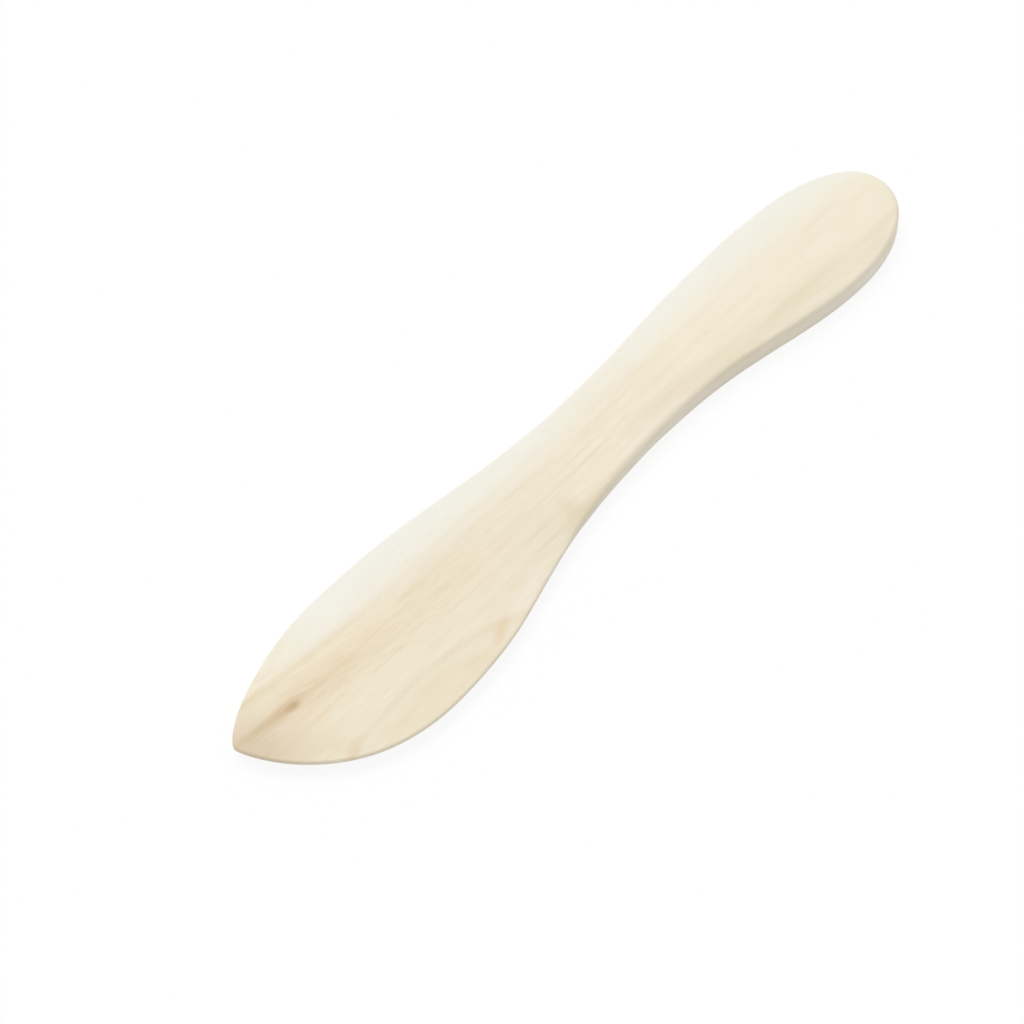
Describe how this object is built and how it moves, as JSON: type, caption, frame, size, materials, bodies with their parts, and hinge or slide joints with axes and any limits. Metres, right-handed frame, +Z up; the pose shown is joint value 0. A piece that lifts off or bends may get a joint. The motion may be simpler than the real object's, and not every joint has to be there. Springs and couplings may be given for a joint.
{
  "type": "cheese knife",
  "caption": "All-wood cheese and butter spreading knife carved from a flat board, with a leaf-shaped bevelled blade, narrow neck and rounded paddle handle.",
  "frame": {"origin": "on the surface the knife lies on, under the middle of its bounding box", "axes": "+X along the knife from the tip of the blade to the butt of the handle, +Y towards the spine, -Y towards the cutting edge, +Z up through the thickness of the board"},
  "size_m": [0.17, 0.0324, 0.006],
  "materials": {
    "sanded_wood": "pale close-grained wood, hand sanded, matt, no varnish"
  },
  "bodies": {
    "root": {"knife_body": "sanded_wood"}
  },
  "joints": []
}
